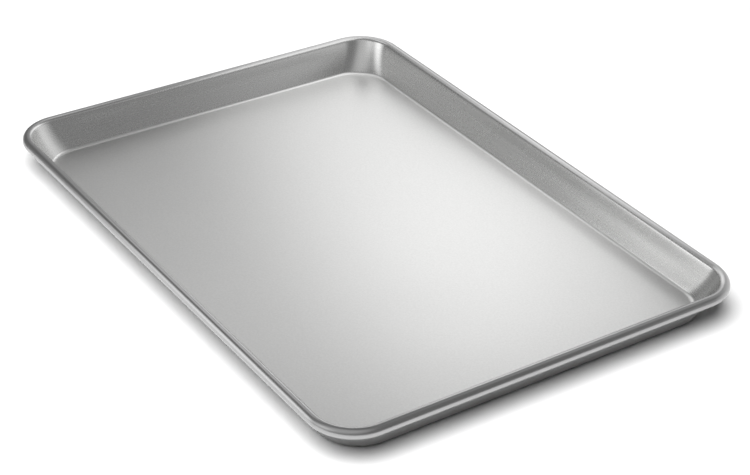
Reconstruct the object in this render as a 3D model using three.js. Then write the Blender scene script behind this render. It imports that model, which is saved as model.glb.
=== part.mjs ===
// Half-size sheet pan: one drawn aluminium sheet whose rim is rolled round a steel wire.
// Millimetres, +Z up, +X along the long side. The origin is the middle of the underside.
import * as THREE from 'three';

// Outside of the rolled rim
const length = 454;
const width = 327;
const height = 26.6;
const rimCornerRadius = 33;

// Sheet, floor and walls
const sheetThickness = 1.0;
const wallFlareDegrees = 20; // lean of the walls from upright
const floorFilletRadius = 2.5; // inside radius between the floor and the walls
const floorCornerRadius = 30; // corners of the flat floor, seen from above

// Draw line, a slight outward break along each straight wall
const drawLineDrop = 10.2; // below the top of the rim
const drawLineDepth = 0.35;
const drawLineFade = 36; // length over which it dies away beside each corner

// Wire and the sheet rolled round it
const wireDiameter = 5.0;
const wireClearance = 0.33; // between the wire and the rolled sheet
const wireButtGap = 0.6; // between the two ends of the wire
const rolledEdgeGap = 0.9; // between the rolled edge and the outside of the wall

// Number of flat steps along each round stretch
const cornerSteps = 8;
const filletSteps = 5;
const rollSteps = 20;
const wireSides = 12;

// Section of the rolled rim
const rollInside = wireDiameter / 2 + wireClearance;
const rollOutside = rollInside + sheetThickness;
const wireInset = rollOutside;
const wireHeight = height - rollOutside;

// Wall: its inner face touches the roll on the line that faces the wall's own way
const flare = THREE.MathUtils.degToRad(wallFlareDegrees);
const wallTopInset = wireInset + rollOutside * Math.cos(flare);
const wallTopHeight = wireHeight + rollOutside * Math.sin(flare);

// Fillet: one centre serves the inner and the outer face of the sheet
const filletHeight = sheetThickness + floorFilletRadius;
const filletRise = (wallTopHeight - filletHeight) * Math.sin(flare);
const filletInset = wallTopInset + (floorFilletRadius + filletRise) / Math.cos(flare);

// The roll turns from the wall over the top and under the wire, and stops short of the wall
const rolledEdgeAngle = 2 * Math.PI + flare - Math.acos((rollInside - rolledEdgeGap) / rollOutside);

// One loop round the pan, set in from the outside of the rim, with its corners rounded.
// It starts and ends at the butted ends of the wire, in the middle of a long side.
// A bulge pushes the straight sides outwards, away from the corners.
function loopAround({ inset, z, cornerRadius = rimCornerRadius - inset, bulge = 0 }) {
  const halfLength = length / 2 - inset;
  const halfWidth = width / 2 - inset;
  const corners = [[-1, 1], [-1, -1], [1, -1], [1, 1]];
  const points = [new THREE.Vector3(-wireButtGap / 2, halfWidth + bulge, z)];
  corners.forEach(([signX, signY], turn) => {
    const startAngle = (turn + 1) * Math.PI / 2;
    const centreX = signX * (halfLength - cornerRadius);
    const centreY = signY * (halfWidth - cornerRadius);
    const place = (angle, radius, ahead) => new THREE.Vector3(
      centreX + radius * Math.cos(angle) - ahead * Math.sin(angle),
      centreY + radius * Math.sin(angle) + ahead * Math.cos(angle),
      z,
    );
    points.push(place(startAngle, cornerRadius + bulge, -drawLineFade));
    for (let step = 0; step <= cornerSteps; step += 1) {
      points.push(place(startAngle + (step / cornerSteps) * Math.PI / 2, cornerRadius, 0));
    }
    points.push(place(startAngle + Math.PI / 2, cornerRadius + bulge, drawLineFade));
  });
  points.push(new THREE.Vector3(wireButtGap / 2, halfWidth + bulge, z));
  return points;
}

// Closed solid through a row of closed loops, with a flat cap on the first and the last loop.
function loft(loops) {
  const size = loops[0].length;
  const points = loops.flat();
  const triangles = [];
  for (let row = 0; row + 1 < loops.length; row += 1) {
    for (let step = 0; step < size; step += 1) {
      const here = row * size + step;
      const beside = row * size + ((step + 1) % size);
      triangles.push(here, here + size, beside);
      triangles.push(beside, here + size, beside + size);
    }
  }
  const cap = (row, facesBack) => {
    const middle = points.length;
    const sum = loops[row].reduce((total, point) => total.add(point), new THREE.Vector3());
    points.push(sum.divideScalar(size));
    for (let step = 0; step < size; step += 1) {
      const here = row * size + step;
      const beside = row * size + ((step + 1) % size);
      triangles.push(middle, facesBack ? here : beside, facesBack ? beside : here);
    }
  };
  cap(0, true);
  cap(loops.length - 1, false);
  const geometry = new THREE.BufferGeometry().setFromPoints(points);
  geometry.setIndex(triangles);
  geometry.computeVertexNormals();
  return geometry;
}

// Points of the section at even turns, as sizes of the loops round the pan.
function arcStations(steps, firstAngle, lastAngle, stationAt) {
  const stations = [];
  for (let step = 0; step <= steps; step += 1) {
    stations.push(stationAt(THREE.MathUtils.lerp(firstAngle, lastAngle, step / steps)));
  }
  return stations;
}

// A place on a circle round the wire, turned from the inside of the pan over the top.
function rollStation(radius, angle) {
  return { inset: wireInset + radius * Math.cos(angle), z: wireHeight + radius * Math.sin(angle) };
}

// Corners open out evenly down the wall, from the rim's own curve to the floor's radius.
function wallCornerRadius(inset, z, thickness) {
  const floorHeight = sheetThickness - thickness;
  const share = (wallTopHeight - z) / (wallTopHeight - floorHeight);
  return THREE.MathUtils.lerp(rimCornerRadius - inset, floorCornerRadius, share);
}

// A place on the fillet, from the wall at the flare angle to the floor at a right angle.
// This and the draw line lie on the inner face of the sheet, or on the outer face at its thickness.
function filletStation(thickness, angle) {
  const radius = floorFilletRadius + thickness;
  const inset = filletInset - radius * Math.cos(angle);
  const z = filletHeight - radius * Math.sin(angle);
  return { inset, z, cornerRadius: wallCornerRadius(inset, z, thickness) };
}

function drawLineStation(thickness) {
  const z = height - drawLineDrop;
  const inset = wallTopInset + (wallTopHeight - z) * Math.tan(flare) - thickness / Math.cos(flare);
  return { inset, z, cornerRadius: wallCornerRadius(inset, z, thickness), bulge: drawLineDepth };
}

// From the middle of the floor up the inside, over the roll to its edge, and back down the outside.
function panBodyGeometry() {
  const floorAngle = Math.PI / 2;
  const stations = [
    ...arcStations(filletSteps, floorAngle, flare, (angle) => filletStation(0, angle)),
    drawLineStation(0),
    ...arcStations(rollSteps, flare, rolledEdgeAngle, (angle) => rollStation(rollOutside, angle)),
    ...arcStations(rollSteps, rolledEdgeAngle, flare, (angle) => rollStation(rollInside, angle)),
    drawLineStation(sheetThickness),
    ...arcStations(filletSteps, flare, floorAngle, (angle) => filletStation(sheetThickness, angle)),
  ];
  return loft(stations.map(loopAround));
}

// A round section carried along the rim from one butted end to the other.
function rimWireGeometry() {
  const turn = 2 * Math.PI;
  const sides = arcStations(wireSides, turn, 0, (angle) => rollStation(wireDiameter / 2, angle));
  const lengthwise = sides.slice(0, wireSides).map(loopAround);
  const sections = lengthwise[0].map((_, place) => lengthwise.map((line) => line[place]));
  return loft(sections);
}

const drawnAluminium = new THREE.MeshStandardMaterial({ color: 0xc4c4c2, roughness: 0.38, metalness: 1 });
const galvanisedSteel = new THREE.MeshStandardMaterial({ color: 0x9a9fa3, roughness: 0.5, metalness: 1 });

function piece(name, geometry, material) {
  const mesh = new THREE.Mesh(geometry, material);
  mesh.name = name;
  return mesh;
}

const sheetPan = new THREE.Group();
sheetPan.add(piece('pan_body', panBodyGeometry(), drawnAluminium));
sheetPan.add(piece('rim_wire', rimWireGeometry(), galvanisedSteel));

export default sheetPan;
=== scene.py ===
import math

import bmesh
import bpy
from mathutils import Matrix, Vector


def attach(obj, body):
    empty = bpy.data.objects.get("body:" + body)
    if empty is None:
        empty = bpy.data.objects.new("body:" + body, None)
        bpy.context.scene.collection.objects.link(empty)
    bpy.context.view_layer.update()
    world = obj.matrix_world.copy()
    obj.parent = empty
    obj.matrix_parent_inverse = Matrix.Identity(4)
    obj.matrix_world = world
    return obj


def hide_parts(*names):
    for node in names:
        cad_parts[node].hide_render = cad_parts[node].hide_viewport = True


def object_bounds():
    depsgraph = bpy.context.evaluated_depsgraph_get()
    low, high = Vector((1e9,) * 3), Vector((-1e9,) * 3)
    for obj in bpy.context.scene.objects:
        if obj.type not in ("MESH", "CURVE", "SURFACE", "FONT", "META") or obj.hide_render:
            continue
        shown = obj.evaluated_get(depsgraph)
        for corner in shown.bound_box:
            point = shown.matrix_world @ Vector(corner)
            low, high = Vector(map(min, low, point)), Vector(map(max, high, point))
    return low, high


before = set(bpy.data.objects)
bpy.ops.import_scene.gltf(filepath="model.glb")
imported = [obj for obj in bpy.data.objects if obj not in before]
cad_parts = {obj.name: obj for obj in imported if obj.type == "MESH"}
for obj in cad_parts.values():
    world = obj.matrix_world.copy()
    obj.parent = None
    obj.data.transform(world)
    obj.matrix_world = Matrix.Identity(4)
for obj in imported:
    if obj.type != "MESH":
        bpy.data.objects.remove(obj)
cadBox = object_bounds()

# Satin aluminium half-size sheet pan with a wired, rolled rim. Metres, +Z up, +X along the long side.

# The overall size is the frame's; the section has the sizes of the part's source
panSize = cadBox[1] - cadBox[0]
pan = {
    "rimCornerRadius": 0.033,  # outside of the rim, seen from above
    "sheetThickness": 0.001,
    "wallFlare": math.radians(20),  # lean of the walls from upright
    "floorFillet": 0.0025,  # inside radius between floor and wall
    "floorCornerRadius": 0.030,
    "floorMargin": 0.0015,  # flat ring inside the fillet that keeps the floor's shading flat
    "drawLineDrop": 0.0102,  # below the top of the rim
    "drawLineDepth": 0.00035,
    "drawLineFade": 0.036,  # dies away over this length beside each corner
    "wireRadius": 0.0025,
    "wireClearance": 0.00033,
    "rolledEdgeGap": 0.0009,  # between the rolled edge and the wall
    "cutEdgeBevel": 0.0002,  # on the cut edge of the sheet
    "cutEdgeSteps": 3,
    "burnishAndShadeFrom": (math.radians(30), math.radians(75)),  # round the roll, where the tools begin to rub and the painted shade begins
    "cornerSegments": 24,
    "sideCuts": 23,
    "filletSteps": 12,
    "wallSteps": 4,
    "rollSteps": (10, 26, 8),  # from the wall to the top, over to the bottom, and on to the cut edge
    "tolerance": 0.000001,  # within this of a straight side, a point is on it
}

# Section of the rim, worked out once for the sheet and the wire
rollInside = pan["wireRadius"] + pan["wireClearance"]
rollOutside = rollInside + pan["sheetThickness"]
wireInset = rollOutside
wireHeight = panSize.z - rollOutside
flare = pan["wallFlare"]
wallTopInset = wireInset + rollOutside * math.cos(flare)
wallTopHeight = wireHeight + rollOutside * math.sin(flare)
filletHeight = pan["sheetThickness"] + pan["floorFillet"]
filletRise = (wallTopHeight - filletHeight) * math.sin(flare)
filletInset = wallTopInset + (pan["floorFillet"] + filletRise) / math.cos(flare)
lineHeight = panSize.z - pan["drawLineDrop"]
rolledEdgeAngle = 2 * math.pi + flare - math.acos((rollInside - pan["rolledEdgeGap"]) / rollOutside)


def smoothStep(low, high, value):
    share = min(max((value - low) / (high - low), 0), 1)
    return share * share * (3 - 2 * share)


def evenSteps(first, last, steps):
    return [first + (last - first) * step / steps for step in range(steps + 1)]


def edgesOf(geom):
    return [part for part in geom if isinstance(part, bmesh.types.BMEdge)]


def roundOff(bm, geom, kind, radius, steps):
    return bmesh.ops.bevel(
        bm, geom=geom, affect=kind, offset_type="OFFSET", offset=radius, segments=steps,
        profile=0.5,  # Blender's number for a round one
    )


# One rounded rectangle round the pan: a plain grid face with its corners bevelled round
def rimLoop(bm, inset, z, cornerRadius=None, bulge=0, burnishedAndShaded=0):
    if cornerRadius is None:
        cornerRadius = pan["rimCornerRadius"] - inset
    halfX, halfY = panSize.x / 2 - inset, panSize.y / 2 - inset
    sheet = bmesh.ops.create_grid(bm, x_segments=1, y_segments=1, size=1)["verts"]
    bmesh.ops.scale(bm, vec=(halfX, halfY, 1), verts=sheet)
    bmesh.ops.translate(bm, vec=(0, 0, z), verts=sheet)
    rounded = roundOff(bm, sheet, "VERTICES", cornerRadius, pan["cornerSegments"])
    face = rounded["verts"][0].link_faces[0]
    outline = list(face.edges)
    bmesh.ops.delete(bm, geom=[face], context="FACES_ONLY")
    sides = sorted(outline, key=lambda edge: edge.calc_length())[-4:]  # the straight ones
    cut = bmesh.ops.subdivide_edges(bm, edges=sides, cuts=pan["sideCuts"])
    outline = list({*outline, *edgesOf(cut["geom"])})
    verts = {vert for edge in outline for vert in edge.verts}
    for vert in verts:
        vert[bm.verts.layers.float["burnishedAndShaded"]] = burnishedAndShaded
    if bulge:
        pushSidesOut(verts, halfX, halfY, cornerRadius, bulge)
    return outline


# Straight sides swell outwards at the draw line, less and less towards the corners
def pushSidesOut(verts, halfX, halfY, cornerRadius, bulge):
    for vert in verts:
        for axis, half, other, otherHalf in ((0, halfX, 1, halfY), (1, halfY, 0, halfX)):
            if abs(abs(vert.co[axis]) - half) < pan["tolerance"]:
                roomToCorner = otherHalf - cornerRadius - abs(vert.co[other])
                push = bulge * smoothStep(0, pan["drawLineFade"], roomToCorner)
                vert.co[axis] += math.copysign(push, vert.co[axis])


# Places on the section, as rimLoop takes them, with the inset from the outside of the rim. The thickness
# is nought on the inner face of the sheet and the sheet's own on the outer face, which is burnished and
# darkened as painted shade.
def rollPlace(radius, angle):
    return {
        "inset": wireInset + radius * math.cos(angle),
        "z": wireHeight + radius * math.sin(angle),
        "burnishedAndShaded": smoothStep(*pan["burnishAndShadeFrom"], angle),
    }


# Corners open out evenly down the wall, from the rim's own curve to the floor's radius
def wallCorner(inset, z, thickness):
    share = (wallTopHeight - z) / (wallTopHeight - pan["sheetThickness"] + thickness)
    rimCurve = pan["rimCornerRadius"] - inset
    return rimCurve + (pan["floorCornerRadius"] - rimCurve) * share


def filletPlace(thickness, angle):
    radius = pan["floorFillet"] + thickness
    inset = filletInset - radius * math.cos(angle)
    z = filletHeight - radius * math.sin(angle)
    return {
        "inset": inset,
        "z": z,
        "cornerRadius": wallCorner(inset, z, thickness),
        "burnishedAndShaded": 1 if thickness else 0,
    }


def wallPlace(thickness, z):
    inset = wallTopInset + (wallTopHeight - z) * math.tan(flare) - thickness / math.cos(flare)
    wallEnd = wallTopHeight if z > lineHeight else filletHeight
    nearness = 1 - abs(z - lineHeight) / abs(wallEnd - lineHeight)
    return {
        "inset": inset,
        "z": z,
        "cornerRadius": wallCorner(inset, z, thickness),
        "bulge": pan["drawLineDepth"] * nearness,
        "burnishedAndShaded": 1 if thickness else 0,
    }


def floorRing(thickness):
    return {
        "inset": filletInset + pan["floorMargin"],
        "z": pan["sheetThickness"] - thickness,
        "cornerRadius": pan["floorCornerRadius"] - pan["floorMargin"],
        "burnishedAndShaded": 1 if thickness else 0,
    }


def wallHeights():
    lowest = filletHeight - pan["floorFillet"] * math.sin(flare)
    below = evenSteps(lowest, lineHeight, pan["wallSteps"])[1:]
    return below + evenSteps(lineHeight, wallTopHeight, pan["wallSteps"])[1:-1]


# A loop at the very top and one at the very bottom keep neighbouring loops apart for the bridges
def rollAngles():
    ends = (flare, math.radians(90), math.radians(270), rolledEdgeAngle)
    turns = [flare]
    for first, last, steps in zip(ends, ends[1:], pan["rollSteps"]):
        turns += evenSteps(first, last, steps)[1:]
    return turns


# From the edge of the floor up to the roll, on one face of the sheet
def floorAndWall(thickness):
    filletTurns = evenSteps(math.pi / 2, flare, pan["filletSteps"])
    places = [floorRing(thickness)]
    places += [filletPlace(thickness, turn) for turn in filletTurns]
    places += [wallPlace(thickness, z) for z in wallHeights()]
    return places


# Up the inside from the floor, over the roll to the cut edge, and back down the outside
def panSection():
    places = floorAndWall(0)
    places += [rollPlace(rollOutside, turn) for turn in rollAngles()]
    cutEdge = len(places) - 1
    places += [rollPlace(rollInside, turn) for turn in reversed(rollAngles())]
    places += reversed(floorAndWall(pan["sheetThickness"]))
    return places, cutEdge


def addObject(bm, name, material):
    mesh = bpy.data.meshes.new(name)
    bm.to_mesh(mesh)
    bm.free()
    mesh.materials.append(material)
    added = bpy.data.objects.new(name, mesh)
    bpy.context.scene.collection.objects.link(added)
    return added


def finishPiece(bm, name, material, node):
    bmesh.ops.recalc_face_normals(bm, faces=bm.faces)
    for face in bm.faces:
        face.smooth = True
    piece = addObject(bm, name, material)
    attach(piece, "root")
    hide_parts(node)
    print(name, "made with", len(piece.data.polygons), "faces")
    return piece


def makePan(material):
    bm = bmesh.new()
    bm.verts.layers.float.new("burnishedAndShaded")  # tells the material what the tools rubbed, rim and outside, which it also darkens as painted shade
    places, cutEdge = panSection()
    loops = [rimLoop(bm, **place) for place in places]
    for inner, outer in zip(loops, loops[1:]):
        bmesh.ops.bridge_loops(bm, edges=inner + outer)
    for ring in (loops[0], loops[-1]):
        bmesh.ops.edgeloop_fill(bm, edges=ring)  # inside floor and underside
    cutEdges = loops[cutEdge] + loops[cutEdge + 1]
    roundOff(bm, cutEdges, "EDGES", pan["cutEdgeBevel"], pan["cutEdgeSteps"])
    return finishPiece(bm, "drawn_pan", material, "pan_body")


wire = {
    "buttGap": 0.0006,  # between its two ends, in the middle of the far long side
    "sides": 24,
    "cornerSteps": 24,
    "endBevel": 0.0004,
    "endSteps": 2,
}


# A round section run along each side and turned at each corner
def makeWire(material):
    bm = bmesh.new()
    ring = bmesh.ops.create_circle(bm, segments=wire["sides"], radius=pan["wireRadius"])["verts"]
    bmesh.ops.rotate(bm, cent=(0, 0, 0), matrix=Matrix.Rotation(math.pi / 2, 3, "Y"), verts=ring)
    halfX, halfY = panSize.x / 2 - wireInset, panSize.y / 2 - wireInset
    bmesh.ops.translate(bm, vec=(-wire["buttGap"] / 2, halfY, wireHeight), verts=ring)
    bend = pan["rimCornerRadius"] - wireInset
    acrossX, acrossY = halfX - bend, halfY - bend
    firstRun = acrossX - wire["buttGap"] / 2
    runs = [  # way to go, then the centre of the turn that ends it
        (Vector((-firstRun, 0, 0)), (-acrossX, acrossY)),
        (Vector((0, -2 * acrossY, 0)), (-acrossX, -acrossY)),
        (Vector((2 * acrossX, 0, 0)), (acrossX, -acrossY)),
        (Vector((0, 2 * acrossY, 0)), (acrossX, acrossY)),
        (Vector((-firstRun, 0, 0)), None),
    ]
    firstEnd = section = list(bm.edges)
    for way, turnCentre in runs:
        section = runOn(bm, section, way)
        if turnCentre:
            turned = bmesh.ops.spin(
                bm, geom=section, cent=(*turnCentre, wireHeight), axis=(0, 0, 1),
                angle=math.pi / 2, steps=wire["cornerSteps"], use_duplicate=False,
            )
            section = edgesOf(turned["geom_last"])
    for end in (firstEnd, section):
        bmesh.ops.edgeloop_fill(bm, edges=end)
    roundOff(bm, firstEnd + section, "EDGES", wire["endBevel"], wire["endSteps"])
    return finishPiece(bm, "rim_wire_smooth", material, "rim_wire")


def runOn(bm, section, way):
    grown = bmesh.ops.extrude_edge_only(bm, edges=section)["geom"]
    ring = [part for part in grown if isinstance(part, bmesh.types.BMVert)]
    bmesh.ops.translate(bm, vec=way, verts=ring)
    return [edge for edge in edgesOf(grown) if all(vert in ring for vert in edge.verts)]


def newMaterial(name):
    material = bpy.data.materials.new(name)
    material.use_nodes = True
    nodes = material.node_tree.nodes
    return material, nodes, material.node_tree.links, nodes["Principled BSDF"]


def addNode(nodes, kind, **settings):
    node = nodes.new(kind)
    for name, value in settings.items():
        setattr(node, name, value)
    return node


# Adds a value, times an amount and times where if that is given, to a running sum
def addShare(nodes, links, total, value, amount, where=None):
    if where:
        shown = addNode(nodes, "ShaderNodeMath", operation="MULTIPLY")
        links.new(value, shown.inputs[0])
        links.new(where, shown.inputs[1])
        value = shown.outputs[0]
    added = addNode(nodes, "ShaderNodeMath", operation="MULTIPLY_ADD")
    links.new(value, added.inputs[0])
    added.inputs[1].default_value = amount
    if isinstance(total, float):
        added.inputs[2].default_value = total
    else:
        links.new(total, added.inputs[2])
    return added.outputs[0]


def centredNoise(nodes, links, place, scale, detail):
    noise = addNode(nodes, "ShaderNodeTexNoise")
    links.new(place, noise.inputs["Vector"])
    noise.inputs["Scale"].default_value = scale
    noise.inputs["Detail"].default_value = detail
    centred = addNode(nodes, "ShaderNodeMath", operation="SUBTRACT")
    links.new(noise.outputs["Fac"], centred.inputs[0])
    centred.inputs[1].default_value = 0.5  # the middle of the noise
    return centred.outputs[0]


def ramp(nodes, links, value, low, high):
    step = addNode(nodes, "ShaderNodeMapRange", interpolation_type="SMOOTHSTEP")
    links.new(value, step.inputs["Value"])
    step.inputs["From Min"].default_value = low
    step.inputs["From Max"].default_value = high
    return step.outputs["Result"]


# Cells of random colour, and how far each spot is from the middle of its cell
def randomCells(nodes, links, place, scale):
    cells = addNode(nodes, "ShaderNodeTexVoronoi")
    links.new(place, cells.inputs["Vector"])
    cells.inputs["Scale"].default_value = scale
    shade = addNode(nodes, "ShaderNodeSeparateColor")
    links.new(cells.outputs["Color"], shade.inputs[0])
    return shade.outputs, cells.outputs["Distance"]


def isBelow(nodes, links, value, limit):
    below = addNode(nodes, "ShaderNodeMath", operation="LESS_THAN")
    links.new(value, below.inputs[0])
    below.inputs[1].default_value = limit
    return below.outputs[0]


def tint(nodes, links, colour, tone, shader):
    toned = addNode(nodes, "ShaderNodeVectorMath", operation="SCALE")
    if isinstance(colour, tuple):
        toned.inputs[0].default_value = colour
    else:
        links.new(colour, toned.inputs[0])
    links.new(tone, toned.inputs["Scale"])
    links.new(toned.outputs[0], shader.inputs["Base Color"])


aluminium = {
    "colour": (0.62, 0.62, 0.615),
    "burnishedAndShadedColour": (0.4, 0.4, 0.4),  # rim and outside, rubbed by the tools, and darker still as painted shade
    "floorRoughness": 0.42,  # mill finish of the sheet
    "wallRoughness": 0.27,  # stretched smoother in the draw
    "burnishedRoughness": 0.3,
    "filletTop": 0.003,  # the mill finish gives way to the drawn wall up to here
    "grain": {"scale": 750, "detail": 2, "tone": 0.17, "roughness": 0.03, "bump": 0.02},
    "drawStreaks": {
        "along": 22, "across": 1100, "detail": 3, "tone": 0.06, "roughness": 0.05, "bump": 0.05,
    },
    "blotches": {"scale": 16, "detail": 2, "tone": 0.05, "roughness": 0.04},
    "pits": {"scale": 60, "size": 0.035, "share": 0.06, "tone": -0.3},  # dark dots in a few cells
    "bumpDepth": 0.00002,
}


def drawnAluminium():
    material, nodes, links, shader = newMaterial("drawnAluminium")
    shader.inputs["Metallic"].default_value = 1
    place = addNode(nodes, "ShaderNodeTexCoord").outputs["Object"]
    height = addNode(nodes, "ShaderNodeSeparateXYZ")
    links.new(place, height.inputs[0])
    onWall = ramp(nodes, links, height.outputs["Z"], pan["sheetThickness"], aluminium["filletTop"])
    onFloor = addShare(nodes, links, 1.0, onWall, -1)
    burnishedAndShaded = addNode(nodes, "ShaderNodeAttribute", attribute_name="burnishedAndShaded").outputs["Fac"]

    grain, streaks = aluminium["grain"], aluminium["drawStreaks"]
    blotches, pits = aluminium["blotches"], aluminium["pits"]
    grainMark = centredNoise(nodes, links, place, grain["scale"], grain["detail"])
    stretched = addNode(nodes, "ShaderNodeMapping")
    links.new(place, stretched.inputs["Vector"])
    stretched.inputs["Scale"].default_value = (streaks["along"], streaks["along"], streaks["across"])
    streakMark = centredNoise(nodes, links, stretched.outputs["Vector"], 1, streaks["detail"])
    blotchMark = centredNoise(nodes, links, place, blotches["scale"], blotches["detail"])
    cell, fromMiddle = randomCells(nodes, links, place, pits["scale"])
    pitMark = isBelow(nodes, links, fromMiddle, pits["size"])
    pitted = isBelow(nodes, links, cell["Red"], pits["share"])

    tone = addShare(nodes, links, 1.0, grainMark, grain["tone"], onFloor)
    tone = addShare(nodes, links, tone, blotchMark, blotches["tone"])
    tone = addShare(nodes, links, tone, streakMark, streaks["tone"], onWall)
    tone = addShare(nodes, links, tone, pitMark, pits["tone"], pitted)
    # The rim and outside get a darker colour: partly the tools' burnish, partly painted shade for the
    # shadow under the rim that they mirror
    colour = addNode(nodes, "ShaderNodeMix", data_type="RGBA")
    links.new(burnishedAndShaded, colour.inputs["Factor"])
    colour.inputs["A"].default_value = (*aluminium["colour"], 1)
    colour.inputs["B"].default_value = (*aluminium["burnishedAndShadedColour"], 1)
    tint(nodes, links, colour.outputs["Result"], tone, shader)

    sheetFinish = addNode(nodes, "ShaderNodeMix")
    links.new(onWall, sheetFinish.inputs["Factor"])
    sheetFinish.inputs["A"].default_value = aluminium["floorRoughness"]
    sheetFinish.inputs["B"].default_value = aluminium["wallRoughness"]
    finish = addNode(nodes, "ShaderNodeMix")
    links.new(burnishedAndShaded, finish.inputs["Factor"])
    links.new(sheetFinish.outputs["Result"], finish.inputs["A"])
    finish.inputs["B"].default_value = aluminium["burnishedRoughness"]
    roughness = addShare(nodes, links, finish.outputs["Result"], grainMark, grain["roughness"])
    roughness = addShare(nodes, links, roughness, blotchMark, blotches["roughness"])
    roughness = addShare(nodes, links, roughness, streakMark, streaks["roughness"], onWall)
    links.new(roughness, shader.inputs["Roughness"])

    relief = addShare(nodes, links, 0.0, grainMark, grain["bump"], onFloor)
    relief = addShare(nodes, links, relief, streakMark, streaks["bump"], onWall)
    bump = addNode(nodes, "ShaderNodeBump")
    links.new(relief, bump.inputs["Height"])
    bump.inputs["Distance"].default_value = aluminium["bumpDepth"]
    links.new(bump.outputs["Normal"], shader.inputs["Normal"])
    return material


galvanised = {
    "colour": (0.55, 0.57, 0.59),
    "roughness": 0.45,
    "spangle": {"scale": 260, "tone": 0.25, "roughness": 0.2},
}


# Zinc crystals of slightly different brightness and gloss
def galvanisedSteel():
    material, nodes, links, shader = newMaterial("galvanisedSteel")
    shader.inputs["Metallic"].default_value = 1
    place = addNode(nodes, "ShaderNodeTexCoord").outputs["Object"]
    spangle = galvanised["spangle"]
    crystal, _ = randomCells(nodes, links, place, spangle["scale"])
    tone = addShare(nodes, links, 1 - spangle["tone"] / 2, crystal["Red"], spangle["tone"])
    tint(nodes, links, galvanised["colour"], tone, shader)
    roughness = addShare(nodes, links, galvanised["roughness"], crystal["Green"], spangle["roughness"])
    links.new(roughness, shader.inputs["Roughness"])
    return material


metal = [makePan(drawnAluminium()), makeWire(galvanisedSteel())]

table = {
    "size": 40,
    "drop": 0.0001,  # under the pan's floor
    "colour": (0.8, 0.8, 0.8, 1),
}


def whiteTable():
    material, nodes, links, shader = newMaterial("whiteTable")
    nodes.remove(shader)
    white = addNode(nodes, "ShaderNodeBsdfDiffuse")
    white.inputs["Color"].default_value = table["colour"]
    links.new(white.outputs[0], nodes["Material Output"].inputs["Surface"])
    return material


def makeTable():
    bm = bmesh.new()
    bmesh.ops.create_grid(bm, x_segments=1, y_segments=1, size=table["size"] / 2)
    bmesh.ops.translate(bm, vec=(0, 0, -table["drop"]), verts=bm.verts)
    ground = addObject(bm, "table", whiteTable())
    print("table laid")
    return ground


ground = makeTable()

# A light tent over the pan with softboxes shining through it. For each: compass angle from +X towards +Y,
# height above the table and half width, in degrees, and strength. The overhead lamp, the even glow and
# the softboxes were fitted to the photograph's tones by scratch scripts, then rounded.
studio = {
    "tentRadius": 0.6,
    "tentSubdivisions": 4,
    "daylight": {"colour": (1, 1, 1, 1), "strength": 1},  # outside the tent, where only the table gets it
    "tableLamp": {"compass": 298, "height": 66, "distance": 3, "size": 3.2, "power": 200},
    "overhead": {"place": (-0.19, 0.29, 0.3), "size": 0.3, "strength": 1.33},  # past the far long side
    "evenGlow": 0.25,  # of the whole tent
    "softboxes": [
        {"compass": 87, "height": 1, "spread": 45, "strength": 0.85},
        {"compass": 143, "height": 25, "spread": 20, "strength": 1.25},
        {"compass": 282, "height": 22, "spread": 24, "strength": 0.8},
        {"compass": 313, "height": 43, "spread": 41, "strength": 0.49},
        {"compass": 117, "height": 33, "spread": 19, "strength": 0.52},
        {"compass": 183, "height": 50, "spread": 22, "strength": 1.07},
        {"compass": 244, "height": 15, "spread": 24, "strength": 1.88},
        {"compass": 164, "height": 16, "spread": 26, "strength": 0.26},
        {"compass": 61, "height": 51, "spread": 23, "strength": 0.34},
        {"compass": 48, "height": 6, "spread": 20, "strength": 0.45},
    ],
}


def wayTo(compass, height):
    compass, height = math.radians(compass), math.radians(height)
    level = math.cos(height)
    return Vector((math.cos(compass) * level, math.sin(compass) * level, math.sin(height)))


# Stands off from the aim and looks back at it
def standOff(aim, way, distance, roll=0):
    turn = way.to_track_quat("Z", "Y").to_matrix() @ Matrix.Rotation(roll, 3, "Z")
    return Matrix.Translation(Vector(aim) + way * distance) @ turn.to_4x4()


def group(name, things):
    collection = bpy.data.collections.new(name)
    for thing in things:
        collection.objects.link(thing)
    return collection


# Each softbox is a round glow that fades towards its edge
def tentGlow():
    material, nodes, links, shader = newMaterial("tentGlow")
    nodes.remove(shader)
    glow = addNode(nodes, "ShaderNodeEmission")
    links.new(glow.outputs[0], nodes["Material Output"].inputs["Surface"])
    place = addNode(nodes, "ShaderNodeTexCoord")
    way = addNode(nodes, "ShaderNodeVectorMath", operation="NORMALIZE")
    links.new(place.outputs["Object"], way.inputs[0])
    strength = studio["evenGlow"]
    for box in studio["softboxes"]:
        towards = addNode(nodes, "ShaderNodeVectorMath", operation="DOT_PRODUCT")
        links.new(way.outputs["Vector"], towards.inputs[0])
        towards.inputs[1].default_value = wayTo(box["compass"], box["height"])
        lit = ramp(nodes, links, towards.outputs["Value"], math.cos(math.radians(box["spread"])), 1)
        strength = addShare(nodes, links, strength, lit, box["strength"])
    links.new(strength, glow.inputs["Strength"])
    return material


def makeTent(metal):
    bm = bmesh.new()
    bmesh.ops.create_icosphere(bm, subdivisions=studio["tentSubdivisions"], radius=studio["tentRadius"])
    bmesh.ops.bisect_plane(
        bm, geom=[*bm.verts, *bm.edges, *bm.faces], clear_inner=True,
        plane_co=(0, 0, -table["drop"]), plane_no=(0, 0, 1),
    )
    tent = addObject(bm, "lightTent", tentGlow())
    tent.visible_camera = False
    tent.light_linking.receiver_collection = group("litByTent", metal)
    print("light tent with", len(studio["softboxes"]), "softboxes")


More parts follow.
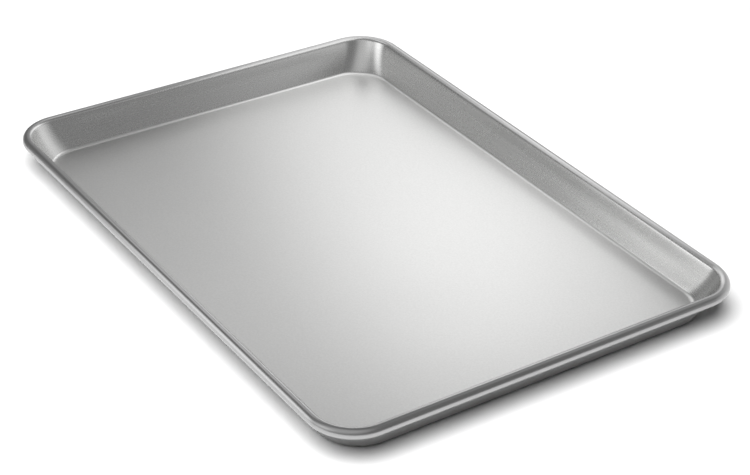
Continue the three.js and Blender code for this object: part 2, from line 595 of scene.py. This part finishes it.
def hangLamp(name, size, power, lit):
    light = bpy.data.lights.new(name, "AREA")
    light.size = size
    light.energy = power
    lamp = bpy.data.objects.new(name, light)
    bpy.context.scene.collection.objects.link(lamp)
    lamp.visible_camera = False
    lamp.light_linking.receiver_collection = group("lit by " + name, lit)
    print(name, "hung")
    return lamp


def makeOverhead(metal):
    box = studio["overhead"]
    power = math.pi * box["size"] ** 2 * box["strength"]
    lamp = hangLamp("overhead", box["size"], power, metal)
    lamp.location = box["place"]


# Lights the table alone, past the tent: its white and the pan's shadow are set apart from the metal
def makeTableLamp(metal, ground):
    box = studio["tableLamp"]
    lamp = hangLamp("tableLamp", box["size"], box["power"], [ground])
    lamp.data.shape = "DISK"
    lamp.matrix_world = standOff((0, 0, 0), wayTo(box["compass"], box["height"]), box["distance"])
    lamp.light_linking.blocker_collection = group("shadesTable", metal)


def makeDaylight():
    world = bpy.data.worlds.new("daylight")
    bpy.context.scene.world = world
    world.use_nodes = True
    sky = world.node_tree.nodes["Background"]
    sky.inputs["Color"].default_value = studio["daylight"]["colour"]
    sky.inputs["Strength"].default_value = studio["daylight"]["strength"]
    print("daylight set")


makeTent(metal)
makeOverhead(metal)
makeTableLamp(metal, ground)
makeDaylight()

# Solved from the outlines of the rim and the floor in the photograph. Compass and height as in the studio
shot = {
    "aim": (0.01145, 0.00741, 0),
    "compass": -34.473,
    "height": 31.758,
    "roll": math.radians(1.617),
    "distance": 1.4047,
    "lens": 95.161,  # millimetres, as is the sensor
    "sensorWidth": 36,
}


def makeCamera():
    camera = bpy.data.objects.new("camera", bpy.data.cameras.new("camera"))
    bpy.context.scene.collection.objects.link(camera)
    bpy.context.scene.camera = camera
    camera.data.sensor_fit = "HORIZONTAL"
    camera.data.sensor_width = shot["sensorWidth"]
    camera.data.lens = shot["lens"]
    way = wayTo(shot["compass"], shot["height"])
    camera.matrix_world = standOff(shot["aim"], way, shot["distance"], shot["roll"])
    print("camera placed")


makeCamera()

bpy.context.scene.view_settings.view_transform = "Standard"
